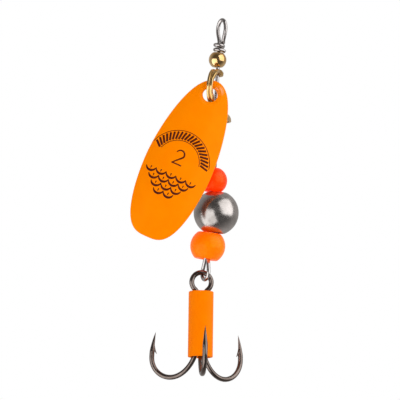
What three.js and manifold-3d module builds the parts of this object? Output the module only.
// Inline spinner: a fishing lure with a blade that spins round a wire stem.
// Millimetres, +Z up the stem, +X to the right and -Y to the front.
// The origin is the inside of the line eye's top, where a snap or a knot pulls.

import * as THREE from 'three';
import { mergeVertices } from 'three/addons/utils/BufferGeometryUtils.js';
import Module from 'manifold-3d';

const wasm = await Module();
wasm.setup();

const { degToRad, smoothstep } = THREE.MathUtils;

// ---- driving dimensions ----

const FACETS = 28;
const WIRE_SIDES = 10;

const WIRE_R = 0.38;
const FREE_GAP = 0.04;
const STEM_BORE_R = 0.5;

const EYE_TURN = degToRad(-44);
const EYE_OFFSET = 0.45;
const EYE_HALF_WIDTH = 1.05;
const EYE_HALF_HEIGHT = 1.88;
const EYE_SIDE = degToRad(-22);
const EYE_BOTTOM_Z = -4.3;
const LEG_HANDLE = 0.75;
const TAG_HANDLE = 1.1;
// Stops along the wraps, as [degrees round the stem, distance from it, height], from the cut end up.
const WRAP_COURSE = [
  [705, 1.29, -6.02],
  [690, 1.0, -5.83],
  [675, 0.88, -5.77],
  [650, 0.8, -5.75],
  [540, 0.8, -5.66],
  [360, 0.8, -4.88],
  [180, 0.8, -4.7],
  [90, 0.8, -4.41],
  [-10, 0.8, -4.08],
];
const WRAP_STEP = 20;

const TOP_BEAD = { x: -0.15, z: -7.69, radius: 1.76, top: 1.43, bottom: 1.43, bore: 0.6, dish: 0.1 };

const CLEVIS_TURN = degToRad(16.5);
const CLEVIS_Z = -13.7;
const CLEVIS_R = 3.5;
const CLEVIS_REACH = 1.4;
const STRIP_WIDTH = 1.2;
const STRIP_THICK = 0.8;
const STRIP_CORNER = 0.22;
const STRIP_END_SHARE = 0.985;
// Where the strip widens: how much, and between which degrees from its middle.
const STRIP_SHOULDER = { gain: 0.28, from: 22, to: 33 };
const STRIP_FLARE = { gain: 0.7, from: 74, to: 105 };
const GROOVE_DEPTH = 0.22;
const GROOVE_HALF_WIDTH = 0.18;
const EAR_R = 1.2;
const EAR_TILT = degToRad(8);

const BLADE_LENGTH = 34.22;
const BLADE_WIDTH = 13.61;
const BLADE_WIDEST = 18.82;
const BLADE_UPPER_POWERS = [1.7, 2.22];
const BLADE_LOWER_POWERS = [1.87, 3.16];
const BLADE_THICK = 0.5;
const BLADE_DOME = 1.6;
const BLADE_HOLE = { t: 3.13, v: -0.14, radius: 1.45 };
const BLADE_HANG_T = 3.45;
const BLADE_TILT = degToRad(20.8);
const BLADE_PITCH = degToRad(5);
const BLADE_CROSSING_ANGLE = degToRad(-35.4);

const CUP_TOP_Z = -18.15;
const CUP_RIM_Z = -20.05;
const CUP_RIM_R = 3.27;
const CUP_NECK_R = 1.2;
const CUP_WALL = 0.38;
const CUP_POWER = 0.8;

const SPACER_R = 0.9;
const UPPER_BEAD = { x: 0.42, z: -31.96, radius: 2.74, top: 2.5, bottom: 2.2, bore: 0.95, dish: 0.14 };
const BALL = { x: 1.33, z: -38.34, radius: 4.48, bore: 1.8, land: 0.12, dish: 0.15 };
const LOWER_BEAD = { x: 0.05, z: -45.07, radius: 3.47, top: 2.6, bottom: 2.64, bore: 1.12, dish: 0.13 };
const LOWER_BEAD_TILT = degToRad(5);

const LOOP_TURN = degToRad(27);
const LOOP_BOTTOM_Z = -51.76;
const LOOP_R = 1.35;
const LOOP_LEAN = -0.15;
const LOOP_NECK = 0.46;
const LOOP_NECK_Z = -47.2;
const TAIL_END_Z = -45.6;
const STEM_SHIFT_Z = [-43.2, -45.4];

const HOOK_WIRE_R = 0.52;
const HOOK_CENTRE = new THREE.Vector3(-0.77, 0, -52.31);
const HOOK_LEAN = degToRad(-1.92);
const HOOK_NOD = degToRad(-3.49);
const HOOK_TURN = degToRad(7.98);
const HOOK_EYE_R = 1.944;
const HOOK_EYE_JOIN = degToRad(-50);
const EYE_LEG_HANDLE = 1.1;
const BUNDLE_R = 0.64;
const SHANK_TOP_Z = -4;
const SHANK_END_Z = -12;
const BEND_BOTTOM = { r: 6.21, z: -18.82 };
const BEND_R = 4.07;
const BEND_START_HANDLE = 3.5;
const BEND_END_HANDLE = 3;
const SPEAR_HANDLE = 2.2;
const TIP = { r: 9.56, z: -9.77 };
const POINT_LENGTH = 3.9;
const POINT_POWER = 0.8;
const POINT_FLAT = 0.06;
const BARB = { radius: 0.24, length: 1.7, lean: degToRad(28), r: 10.1, z: -12.6 };
const HOOK_AZIMUTHS = { left: degToRad(-120), right: degToRad(120), front: degToRad(-2.9) };

const SLEEVE = {
  radius: 2.46, top: -1.91, bottom: -14.92, bore: 1.28, mouth: 1.95, funnel: 2.6, flare: 2.22, corner: 0.3,
};
const SLEEVE_TILT = degToRad(-0.6);

// ---- materials ----

const metal = (color, roughness) => new THREE.MeshStandardMaterial({ color, roughness, metalness: 1 });
const paint = (color, roughness) => new THREE.MeshStandardMaterial({ color, roughness, metalness: 0 });

const steelWire = () => metal(0xb9b2ad, 0.25);
const brass = () => metal(0xd2a048, 0.2);
const hookMetal = () => metal(0x4a3d38, 0.3);

// ---- helpers ----

const vec = (x, y, z) => new THREE.Vector3(x, y, z);

/** A round tube through the points. radiusAt gives its radius at a share (0 to 1) of its length. */
function tube(points, radiusAt, sides = WIRE_SIDES) {
  const last = points.length - 1;
  const lengths = [0];
  for (let i = 1; i <= last; i += 1) {
    lengths.push(lengths[i - 1] + points[i].distanceTo(points[i - 1]));
  }
  const positions = [];
  const normal = new THREE.Vector3(0.36, 0.48, 0.8);
  points.forEach((point, i) => {
    const before = points[Math.max(i - 1, 0)];
    const after = points[Math.min(i + 1, last)];
    const tangent = after.clone().sub(before).normalize();
    normal.addScaledVector(tangent, -normal.dot(tangent)).normalize();
    const binormal = tangent.clone().cross(normal);
    const radius = radiusAt(lengths[i] / lengths[last], lengths[last]);
    for (let k = 0; k < sides; k += 1) {
      const angle = (2 * Math.PI * k) / sides;
      const rim = point.clone()
        .addScaledVector(normal, radius * Math.cos(angle))
        .addScaledVector(binormal, radius * Math.sin(angle));
      positions.push(rim.x, rim.y, rim.z);
    }
  });
  const faces = [];
  for (let i = 0; i < last; i += 1) {
    for (let k = 0; k < sides; k += 1) {
      const a = i * sides + k;
      const b = i * sides + ((k + 1) % sides);
      faces.push(a, b, b + sides, a, b + sides, a + sides);
    }
  }
  for (let k = 1; k < sides - 1; k += 1) {
    faces.push(0, k + 1, k);
    faces.push(last * sides, last * sides + k, last * sides + k + 1);
  }
  const geometry = new THREE.BufferGeometry();
  geometry.setAttribute('position', new THREE.Float32BufferAttribute(positions, 3));
  geometry.setIndex(faces);
  return geometry;
}

/** A solid of revolution about Z, from a closed outline of [radius, z] pairs. */
function turned(outline, segments = FACETS) {
  const points = [...outline, outline[0]].map(([r, z]) => new THREE.Vector2(r, z));
  return new THREE.LatheGeometry(points, segments).rotateX(Math.PI / 2);
}

/** [radius, z] pairs on a circle about (centreR, centreZ), from one angle to another, in radians. */
function arcPoints(centreR, centreZ, radius, from, to, steps) {
  return Array.from({ length: steps + 1 }, (_, i) => {
    const angle = from + ((to - from) * i) / steps;
    return [centreR + radius * Math.cos(angle), centreZ + radius * Math.sin(angle)];
  });
}

function toSolid(geometry) {
  const bare = geometry.clone();
  bare.deleteAttribute('normal');
  bare.deleteAttribute('uv');
  const merged = mergeVertices(bare, 1e-5);
  return new wasm.Manifold(new wasm.Mesh({
    numProp: 3,
    vertProperties: new Float32Array(merged.attributes.position.array),
    triVerts: new Uint32Array(merged.index.array),
  }));
}

function toGeometry(solid) {
  const mesh = solid.getMesh();
  const geometry = new THREE.BufferGeometry();
  geometry.setAttribute('position', new THREE.Float32BufferAttribute(mesh.vertProperties, 3));
  geometry.setIndex(Array.from(mesh.triVerts));
  return geometry;
}

function named(name, geometry, material) {
  const mesh = new THREE.Mesh(geometry, material);
  mesh.name = name;
  return mesh;
}

// ---- stem wire: line eye, wraps, stem and hook loop ----

function wrapPoints() {
  const points = [];
  const add = (degrees, distance, z) => {
    const angle = degToRad(degrees);
    points.push(vec(distance * Math.cos(angle), distance * Math.sin(angle), z));
  };
  for (let i = 0; i < WRAP_COURSE.length - 1; i += 1) {
    const start = WRAP_COURSE[i];
    const end = WRAP_COURSE[i + 1];
    const count = Math.ceil(Math.abs(end[0] - start[0]) / WRAP_STEP);
    for (let k = 0; k < count; k += 1) {
      add(...start.map((value, axis) => value + ((end[axis] - value) * k) / count));
    }
  }
  add(...WRAP_COURSE[WRAP_COURSE.length - 1]);
  return points;
}

function eyePoints() {
  const inEyePlane = (u, z) => vec(u * Math.cos(EYE_TURN), u * Math.sin(EYE_TURN), z);
  const wraps = wrapPoints();
  const oval = arcPoints(0, 0, 1, EYE_SIDE, Math.PI - EYE_SIDE, 16).map(([across, up]) => inEyePlane(
    EYE_OFFSET + EYE_HALF_WIDTH * across,
    WIRE_R - EYE_HALF_HEIGHT + EYE_HALF_HEIGHT * up,
  ));
  const heading = (from, to, length = LEG_HANDLE) => to.clone().sub(from).normalize().multiplyScalar(length);
  const wrapTop = wraps[wraps.length - 1];
  const [rightSide, afterRight] = oval;
  const [beforeLeft, leftSide] = oval.slice(-2);
  const tagLeg = new THREE.CubicBezierCurve3(
    wrapTop,
    wrapTop.clone().add(heading(wraps[wraps.length - 2], wrapTop)),
    rightSide.clone().sub(heading(rightSide, afterRight, TAG_HANDLE)),
    rightSide,
  );
  const stemLeg = new THREE.CubicBezierCurve3(
    leftSide,
    leftSide.clone().add(heading(beforeLeft, leftSide)),
    vec(0, 0, EYE_BOTTOM_Z + LEG_HANDLE),
    vec(0, 0, EYE_BOTTOM_Z),
  );
  return [...wraps, ...tagLeg.getPoints(10).slice(1, -1), ...oval, ...stemLeg.getPoints(7).slice(1)];
}

function hookLoopPoints() {
  const inLoopPlane = (w, z) => {
    const lean = LOOP_LEAN * Math.max(0, (LOOP_NECK_Z - z) / (LOOP_NECK_Z - LOOP_BOTTOM_Z));
    return vec(w * Math.sin(LOOP_TURN) + lean, -w * Math.cos(LOOP_TURN), z);
  };
  const points = [];
  const shiftSteps = 6;
  for (let i = 0; i <= shiftSteps; i += 1) {
    const share = i / shiftSteps;
    const z = STEM_SHIFT_Z[0] + (STEM_SHIFT_Z[1] - STEM_SHIFT_Z[0]) * share;
    points.push(inLoopPlane(-LOOP_NECK * (0.5 - 0.5 * Math.cos(Math.PI * share)), z));
  }
  const centreZ = LOOP_BOTTOM_Z + LOOP_R;
  const drop = LOOP_NECK_Z - centreZ;
  const span = Math.hypot(LOOP_NECK, drop);
  const tangentAngle = Math.atan2(drop, LOOP_NECK) - Math.acos(LOOP_R / span);
  points.push(inLoopPlane(-LOOP_NECK, LOOP_NECK_Z));
  const bendSteps = 14;
  for (let i = 0; i <= bendSteps; i += 1) {
    const angle = Math.PI - tangentAngle + ((Math.PI + 2 * tangentAngle) * i) / bendSteps;
    points.push(inLoopPlane(LOOP_R * Math.cos(angle), centreZ + LOOP_R * Math.sin(angle)));
  }
  points.push(inLoopPlane(LOOP_NECK, LOOP_NECK_Z));
  points.push(inLoopPlane(LOOP_NECK, TAIL_END_Z));
  return points;
}

function shaftWire() {
  const points = [...eyePoints(), ...hookLoopPoints()];
  return named('shaft_wire', tube(points, () => WIRE_R), steelWire());
}

// ---- beads, ball, cup and spacer ----

/** A ball cut flat at both ends, dished there and drilled through, at its place on the stem. */
function drilledBall(name, { x, z, radius, top, bottom, bore, dish }, material, steps = 12) {
  const sphere = arcPoints(0, 0, radius, -Math.asin(bottom / radius), Math.asin(top / radius), steps);
  const mesh = named(name, turned([[bore, dish - bottom], ...sphere, [bore, top - dish]]), material);
  mesh.position.set(x, 0, z);
  return mesh;
}

const topBead = () => drilledBall('top_bead', TOP_BEAD, brass());
const upperBead = () => drilledBall('upper_bead', UPPER_BEAD, paint(0xff4a12, 0.35));

function weightBall() {
  const half = Math.sqrt(BALL.radius ** 2 - (BALL.bore + BALL.land) ** 2);
  return drilledBall('weight_ball', { ...BALL, top: half, bottom: half }, metal(0x8d8580, 0.35), 16);
}

function lowerBead() {
  const mesh = drilledBall('lower_bead', LOWER_BEAD, paint(0xff7a08, 0.35));
  mesh.rotation.y = LOWER_BEAD_TILT;
  return mesh;
}

function bearingCup() {
  const rise = CUP_TOP_Z - CUP_RIM_Z;
  const dome = (inset) => Array.from({ length: 9 }, (_, i) => {
    const angle = (Math.PI / 2) * (i / 8);
    const r = CUP_NECK_R + (CUP_RIM_R - CUP_NECK_R - inset) * Math.sin(angle);
    return [r, CUP_RIM_Z + (rise - inset) * Math.cos(angle) ** CUP_POWER];
  });
  const outline = [
    [STEM_BORE_R, CUP_TOP_Z],
    ...dome(0),
    ...dome(CUP_WALL).reverse(),
    [STEM_BORE_R, CUP_TOP_Z - CUP_WALL],
  ];
  return named('bearing_cup', turned(outline.reverse()), brass());
}

function spacerTube() {
  const top = CUP_TOP_Z - CUP_WALL - FREE_GAP;
  const bottom = UPPER_BEAD.z + UPPER_BEAD.top + FREE_GAP;
  const chamfer = 0.15;
  const outline = [
    [STEM_BORE_R, bottom],
    [SPACER_R - chamfer, bottom],
    [SPACER_R, bottom + chamfer],
    [SPACER_R, top - chamfer],
    [SPACER_R - chamfer, top],
    [STEM_BORE_R, top],
  ];
  return named('spacer_tube', turned(outline), brass());
}

// ---- clevis and blade ----

/** How much wider each side of the clevis strip is at an angle than at its middle. */
function stripWidening(angle, onRight) {
  const degrees = Math.abs(THREE.MathUtils.radToDeg(angle));
  const widened = ({ gain, from, to }) => gain * smoothstep(degrees, from, to);
  return 1 + widened(STRIP_FLARE) + (onRight ? widened(STRIP_SHOULDER) : 0);
}

/** The clevis lies in its own XZ plane, with +X away from the stem and the stem on the Z axis. */
function clevis() {
  const halfWidth = STRIP_WIDTH / 2;
  const half = STRIP_THICK / 2;
  const outline = [
    [-half, -halfWidth + STRIP_CORNER],
    [-half + STRIP_CORNER, -halfWidth],
    [half - STRIP_CORNER, -halfWidth],
    [half, -halfWidth + STRIP_CORNER],
    [half, -GROOVE_HALF_WIDTH],
    [half - GROOVE_DEPTH, 0],
    [half, GROOVE_HALF_WIDTH],
    [half, halfWidth - STRIP_CORNER],
    [half - STRIP_CORNER, halfWidth],
    [-half + STRIP_CORNER, halfWidth],
    [-half, halfWidth - STRIP_CORNER],
  ].map(([thick, wide]) => new THREE.Vector2(thick, wide));
  const earAngle = Math.acos(-CLEVIS_REACH / CLEVIS_R);
  const steps = 36;
  const positions = [];
  for (let i = 0; i <= steps; i += 1) {
    const angle = earAngle * (2 * (i / steps) - 1) * STRIP_END_SHARE;
    for (const { x, y } of outline) {
      const reach = CLEVIS_R + x;
      positions.push(
        CLEVIS_REACH + reach * Math.cos(angle),
        y * stripWidening(angle, y > 0),
        reach * Math.sin(angle),
      );
    }
  }
  const sides = outline.length;
  const faces = [];
  for (let i = 0; i < steps; i += 1) {
    for (let k = 0; k < sides; k += 1) {
      const a = i * sides + k;
      const b = i * sides + ((k + 1) % sides);
      faces.push(a, b, b + sides, a, b + sides, a + sides);
    }
  }
  for (const [a, b, c] of THREE.ShapeUtils.triangulateShape(outline, [])) {
    faces.push(a, c, b);
    faces.push(steps * sides + a, steps * sides + b, steps * sides + c);
  }
  const strip = new THREE.BufferGeometry();
  strip.setAttribute('position', new THREE.Float32BufferAttribute(positions, 3));
  strip.setIndex(faces);

  let solid = toSolid(strip);
  for (const side of [-1, 1]) {
    const ear = new THREE.CylinderGeometry(EAR_R, EAR_R, STRIP_THICK, FACETS).rotateX(Math.PI / 2);
    ear.rotateY(-side * EAR_TILT);
    ear.translate(0, 0, side * CLEVIS_R * Math.sin(earAngle));
    solid = solid.add(toSolid(ear));
  }
  const holeLength = 3 * CLEVIS_R;
  const stemHole = new THREE.CylinderGeometry(STEM_BORE_R, STEM_BORE_R, holeLength, FACETS);
  solid = solid.subtract(toSolid(stemHole.rotateX(Math.PI / 2)));

  const mesh = named('clevis', toGeometry(solid), brass());
  mesh.position.set(0, 0, CLEVIS_Z);
  mesh.rotation.z = -Math.PI / 2 - CLEVIS_TURN;
  return mesh;
}

/** Half the blade's width at t from its top end. */
function bladeHalfWidth(t) {
  const upper = t < BLADE_WIDEST;
  const reach = upper ? BLADE_WIDEST : BLADE_LENGTH - BLADE_WIDEST;
  const share = Math.min(Math.abs(t - BLADE_WIDEST) / reach, 1);
  const [p, q] = upper ? BLADE_UPPER_POWERS : BLADE_LOWER_POWERS;
  return (BLADE_WIDTH / 2) * (1 - share ** p) ** (1 / q);
}

/** The blade in its own frame: t runs down from its top end, v across it, and the dome rises along +Z. */
function bladeSolid() {
  const around = 60;
  const rings = 7;
  const outline = Array.from({ length: around }, (_, k) => {
    const angle = (2 * Math.PI * k) / around;
    const share = -Math.cos(angle);
    const reach = share < 0 ? BLADE_WIDEST : BLADE_LENGTH - BLADE_WIDEST;
    const t = BLADE_WIDEST + reach * Math.sign(share) * Math.abs(share) ** 0.92;
    return [t, bladeHalfWidth(t) * Math.sign(Math.sin(angle))];
  });
  const positions = [];
  const addSkin = (offset) => {
    positions.push(BLADE_WIDEST, 0, BLADE_DOME + offset);
    for (let ring = 1; ring <= rings; ring += 1) {
      const s = ring / rings;
      for (const [t, v] of outline) {
        positions.push(BLADE_WIDEST + s * (t - BLADE_WIDEST), s * v, BLADE_DOME * (1 - s ** 2) + offset);
      }
    }
  };
  addSkin(BLADE_THICK / 2);
  addSkin(-BLADE_THICK / 2);
  const skinSize = 1 + rings * around;
  const faces = [];
  const addFaces = (base, flip) => {
    const push = (a, b, c) => (flip ? faces.push(a, c, b) : faces.push(a, b, c));
    for (let k = 0; k < around; k += 1) {
      const next = (k + 1) % around;
      push(base, base + 1 + k, base + 1 + next);
      for (let ring = 0; ring < rings - 1; ring += 1) {
        const a = base + 1 + ring * around;
        push(a + k, a + around + k, a + around + next);
        push(a + k, a + around + next, a + next);
      }
    }
  };
  addFaces(0, true);
  addFaces(skinSize, false);
  const rim = 1 + (rings - 1) * around;
  for (let k = 0; k < around; k += 1) {
    const next = (k + 1) % around;
    faces.push(rim + k, rim + next, skinSize + rim + next);
    faces.push(rim + k, skinSize + rim + next, skinSize + rim + k);
  }
  const geometry = new THREE.BufferGeometry();
  geometry.setAttribute('position', new THREE.Float32BufferAttribute(positions, 3));
  geometry.setIndex(faces);
  const { t, v, radius } = BLADE_HOLE;
  const hole = new THREE.CylinderGeometry(radius, radius, 8, FACETS).rotateX(Math.PI / 2);
  hole.translate(t, v, 0);
  return toSolid(geometry).subtract(toSolid(hole));
}

/** The point of the clevis, in the spinner's frame, where the blade hangs. */
function hangPoint() {
  const reach = CLEVIS_REACH + CLEVIS_R * Math.cos(BLADE_CROSSING_ANGLE);
  return vec(
    -reach * Math.sin(CLEVIS_TURN),
    -reach * Math.cos(CLEVIS_TURN),
    CLEVIS_Z + CLEVIS_R * Math.sin(BLADE_CROSSING_ANGLE),
  );
}

function blade() {
  const across = vec(Math.cos(BLADE_TILT), 0, -Math.sin(BLADE_TILT));
  const flatDown = vec(-Math.sin(BLADE_TILT), 0, -Math.cos(BLADE_TILT));
  const front = vec(0, -1, 0);
  const down = flatDown.clone().multiplyScalar(Math.cos(BLADE_PITCH))
    .addScaledVector(front, Math.sin(BLADE_PITCH));
  const out = front.clone().multiplyScalar(Math.cos(BLADE_PITCH))
    .addScaledVector(flatDown, -Math.sin(BLADE_PITCH));
  const share = (BLADE_WIDEST - BLADE_HANG_T) / BLADE_WIDEST;
  const hangRise = BLADE_DOME * (1 - share ** 2);
  const mesh = named('blade', toGeometry(bladeSolid()), paint(0xff8a00, 0.35));
  mesh.quaternion.setFromRotationMatrix(new THREE.Matrix4().makeBasis(down, across, out));
  mesh.position.copy(hangPoint()).addScaledVector(down, -BLADE_HANG_T).addScaledVector(out, -hangRise);
  return mesh;
}

// ---- treble hook and its sleeve ----

/** Centre line of one hook from its shank's top to its tip. Azimuth 0 is the front. */
function hookPoints(azimuth) {
  const place = (r, z) => vec(r * Math.sin(azimuth), -r * Math.cos(azimuth) - BUNDLE_R / 2, z);
  const out = new THREE.CubicBezierCurve3(
    place(BUNDLE_R, SHANK_END_Z),
    place(BUNDLE_R, SHANK_END_Z - BEND_START_HANDLE),
    place(BEND_BOTTOM.r - BEND_END_HANDLE, BEND_BOTTOM.z),
    place(BEND_BOTTOM.r, BEND_BOTTOM.z),
  );
  const points = [place(BUNDLE_R, SHANK_TOP_Z), ...out.getPoints(12)];
  const bend = arcPoints(BEND_BOTTOM.r, BEND_BOTTOM.z + BEND_R, BEND_R, -Math.PI / 2, 0, 9).slice(1);
  for (const [r, z] of bend) {
    points.push(place(r, z));
  }
  const spear = new THREE.QuadraticBezierCurve3(
    points[points.length - 1],
    place(BEND_BOTTOM.r + BEND_R, BEND_BOTTOM.z + BEND_R + SPEAR_HANDLE),
    place(TIP.r, TIP.z),
  );
  points.push(...spear.getPoints(12).slice(1));
  return points;
}

/** Wire radius that runs down to a fine point over the last stretch of the wire. */
const pointedEnd = (share, length) => {
  const left = ((1 - share) * length) / POINT_LENGTH;
  const thickness = Math.min(Math.max(left, 0), 1) ** POINT_POWER;
  return HOOK_WIRE_R * Math.max(POINT_FLAT, thickness);
};

const pointedEnds = (share, length) => Math.min(pointedEnd(share, length), pointedEnd(1 - share, length));

function barb(azimuth) {
  const sliver = new THREE.ConeGeometry(BARB.radius, BARB.length, 8).rotateX(-Math.PI / 2);
  sliver.translate(0, 0, -BARB.length / 2);
  sliver.rotateY(BARB.lean);
  sliver.translate(BARB.r, 0, BARB.z);
  sliver.rotateZ(azimuth - Math.PI / 2);
  sliver.translate(0, -BUNDLE_R / 2, 0);
  return toSolid(sliver);
}

function doubleHook() {
  const left = hookPoints(HOOK_AZIMUTHS.left);
  const right = hookPoints(HOOK_AZIMUTHS.right);
  const [along, up] = [Math.cos(HOOK_EYE_JOIN), Math.sin(HOOK_EYE_JOIN)];
  const foot = right[0];
  const joinPoint = vec(HOOK_EYE_R * along, 0, HOOK_EYE_R * up);
  const rise = new THREE.CubicBezierCurve3(
    foot,
    foot.clone().add(vec(0, 0, EYE_LEG_HANDLE)),
    joinPoint.clone().add(vec(up, 0, -along).multiplyScalar(LEG_HANDLE)),
    joinPoint,
  ).getPoints(6).slice(1);
  const eye = arcPoints(0, 0, HOOK_EYE_R, HOOK_EYE_JOIN, Math.PI - HOOK_EYE_JOIN, 24).slice(1, -1)
    .map(([x, z]) => vec(x, 0, z));
  const mirrored = rise.map((p) => vec(-p.x, p.y, p.z)).reverse();
  const points = [...right.reverse(), ...rise, ...eye, ...mirrored, ...left];
  const wire = toSolid(tube(points, pointedEnds));
  const solid = wire.add(barb(HOOK_AZIMUTHS.left)).add(barb(HOOK_AZIMUTHS.right));
  return named('treble_double_hook', toGeometry(solid), hookMetal());
}

function singleHook() {
  const wire = toSolid(tube(hookPoints(HOOK_AZIMUTHS.front), pointedEnd));
  return named('treble_single_hook', toGeometry(wire.add(barb(HOOK_AZIMUTHS.front))), hookMetal());
}

function hookSleeve() {
  const { radius, top, bottom, bore, mouth, funnel, flare, corner } = SLEEVE;
  const outline = [
    [flare, bottom],
    [radius, bottom],
    ...arcPoints(radius - corner, top - corner, corner, 0, Math.PI / 2, 4),
    [mouth, top],
    [bore, top - funnel],
    [bore, SHANK_END_Z],
  ];
  const mesh = named('hook_sleeve', turned(outline), paint(0xff7d00, 0.5));
  mesh.position.set(-((top + bottom) / 2) * Math.sin(SLEEVE_TILT), -BUNDLE_R / 2, 0);
  mesh.rotation.y = SLEEVE_TILT;
  return mesh;
}

function trebleHook() {
  const hook = new THREE.Group();
  hook.add(doubleHook(), singleHook(), hookSleeve());
  hook.position.copy(HOOK_CENTRE);
  hook.rotation.set(HOOK_NOD, HOOK_LEAN, HOOK_TURN, 'YXZ');
  return hook;
}

// ---- the spinner ----

const spinner = new THREE.Group();
spinner.add(
  shaftWire(),
  topBead(),
  clevis(),
  blade(),
  bearingCup(),
  spacerTube(),
  upperBead(),
  weightBall(),
  lowerBead(),
  trebleHook(),
);

export default spinner;
